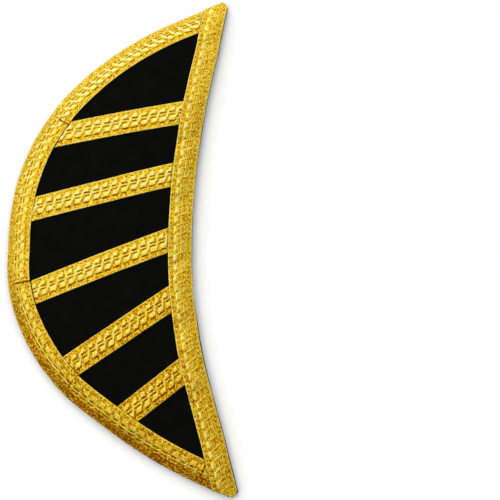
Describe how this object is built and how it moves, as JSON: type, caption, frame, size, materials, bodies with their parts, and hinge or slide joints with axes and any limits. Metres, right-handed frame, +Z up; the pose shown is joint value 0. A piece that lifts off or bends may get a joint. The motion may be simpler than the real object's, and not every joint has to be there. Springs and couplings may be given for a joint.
{
  "type": "left shoulder wing of a doublet",
  "caption": "Stiffened black cloth crescent, slightly domed, edged and barred with raised gold lace; sewn to a doublet's shoulder seam.",
  "frame": {"origin": "under the middle of the crescent, on the surface it lies on", "axes": "+X towards the inner edge that is sewn to the shoulder, +Y along the crescent to its upper tip, +Z up out of its face"},
  "size_m": [0.1223, 0.2735, 0.0099],
  "materials": {
    "black_cloth": "matt milled wool",
    "gold_lace": "woven metallic thread with a satin shine"
  },
  "bodies": {
    "root": {"cloth_shell": "black_cloth", "outer_lace": "gold_lace", "inner_lace": "gold_lace", "bar_lace_1": "gold_lace", "bar_lace_2": "gold_lace", "bar_lace_3": "gold_lace", "bar_lace_4": "gold_lace", "bar_lace_5": "gold_lace"}
  },
  "joints": []
}
